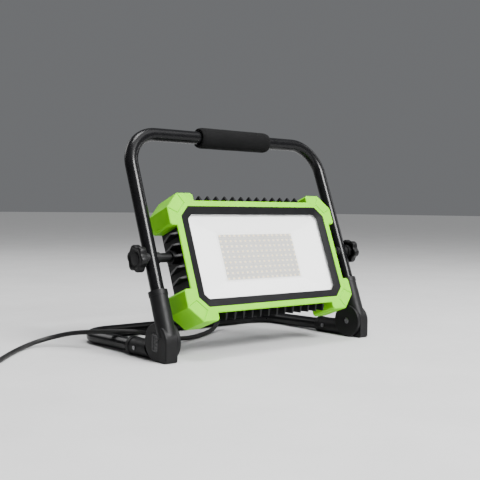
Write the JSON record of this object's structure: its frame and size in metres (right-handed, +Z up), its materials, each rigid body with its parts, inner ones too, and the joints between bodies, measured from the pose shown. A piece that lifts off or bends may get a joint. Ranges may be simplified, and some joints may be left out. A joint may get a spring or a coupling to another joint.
{
  "type": "work light",
  "caption": "Portable LED work light: finned head in a green bumper frame, tilting in a lean-back tube handle with foam grip, fold-out tube base, mains cord and plug.",
  "frame": {"origin": "on the floor, under the middle of the light without its cord", "axes": "+X across the light to its right seen from the front, -Y the side that shines, +Z up"},
  "size_m": [0.7095, 0.2668, 0.3224],
  "materials": {
    "tube_black": "gloss black powder coat",
    "foam": "matt closed-cell foam",
    "connector_plastic": "matt moulded plastic, fine spark texture",
    "button_plastic": "matt plastic",
    "steel": "zinc plated",
    "frame_green": "satin moulded plastic",
    "bezel_grey": "satin moulded plastic",
    "glass": "lightly frosted toughened glass",
    "rubber": "matt",
    "silicone_white": "white silicone",
    "reflector_white": "satin white",
    "board_white": "white solder mask",
    "board_green": "green solder mask",
    "led_phosphor": "pale yellow phosphor",
    "heat_sink_black": "satin black powder coat on die-cast aluminium",
    "nylon_black": "nylon",
    "brass": "turned",
    "cord_rubber": "matt rubber sheath",
    "tie_fabric": "hook and loop tape",
    "plug_metal": "nickel plated"
  },
  "bodies": {
    "handle": {"handle_tube": "tube_black", "foam_grip": "foam", "handle_connector_left": "connector_plastic", "handle_connector_right": "connector_plastic", "handle_screws": "steel", "leg_saddles": "connector_plastic", "power_cord": "cord_rubber", "cord_coil": "cord_rubber", "cord_tail": "cord_rubber", "coil_tie": "tie_fabric", "plug_body": "cord_rubber", "plug_pins": "plug_metal", "plug_earth_contacts": "plug_metal", "lock_spring_left": "steel", "lock_spring_right": "steel"},
    "head": {"front_frame": "frame_green", "bezel": "bezel_grey", "lens_glass": "glass", "lens_gasket": "silicone_white", "reflector": "reflector_white", "led_board": "board_white", "led_chips": "led_phosphor", "thermal_pad": "rubber", "heat_sink_housing": "heat_sink_black", "frame_screws": "steel", "driver_housing": "heat_sink_black", "driver_gasket": "rubber", "driver_cover": "heat_sink_black", "driver_cover_screws": "steel", "driver_board": "board_green", "driver_parts": "board_green", "switch_body": "nylon_black", "cable_gland": "nylon_black", "gland_nut": "nylon_black", "cord_boot": "rubber", "pivot_studs": "steel", "pivot_spacers": "nylon_black"},
    "base": {"base_connector_left": "connector_plastic", "base_connector_right": "connector_plastic", "base_tube": "tube_black", "base_screws": "steel", "hinge_bolts": "steel"},
    "switch": {"switch_rocker": "nylon_black"},
    "knob_left": {"knob_left": "nylon_black", "knob_insert_left": "brass"},
    "knob_right": {"knob_right": "nylon_black", "knob_insert_right": "brass"},
    "lock_left": {"lock_button_left": "button_plastic"},
    "lock_right": {"lock_button_right": "button_plastic"}
  },
  "joints": [
    {"name": "base_fold", "type": "hinge", "parent": "handle", "child": "base", "pos_m": [0, -0.09532, 0.0255], "axis": [1, 0, 0], "range_deg": [0, 64], "deforming": ["power_cord"]},
    {"name": "head_tilt", "type": "hinge", "parent": "handle", "child": "head", "pos_m": [0, -0.06754, 0.13466], "axis": [1, 0, 0], "range_deg": [-50, 50]},
    {"name": "knob_left_turn", "type": "hinge", "parent": "handle", "child": "knob_left", "pos_m": [-0.2, -0.06754, 0.13466], "axis": [-1, 0, 0], "range_deg": [0, 360]},
    {"name": "knob_right_turn", "type": "hinge", "parent": "handle", "child": "knob_right", "pos_m": [0.2, -0.06754, 0.13466], "axis": [1, 0, 0], "range_deg": [0, 360]},
    {"name": "lock_left_press", "type": "slide", "parent": "handle", "child": "lock_left", "axis": [1, 0, 0], "range_m": [0, 0.003], "stiffness_N_per_m": 500, "springref_m": -0.002, "deforming": ["lock_spring_left"]},
    {"name": "lock_right_press", "type": "slide", "parent": "handle", "child": "lock_right", "axis": [-1, 0, 0], "range_m": [0, 0.003], "stiffness_N_per_m": 500, "springref_m": -0.002, "deforming": ["lock_spring_right"]},
    {"name": "switch_rock", "type": "hinge", "parent": "head", "child": "switch", "pos_m": [-0.03, -0.02692, 0.11211], "axis": [1, 0, 0], "range_deg": [0, 16]}
  ]
}
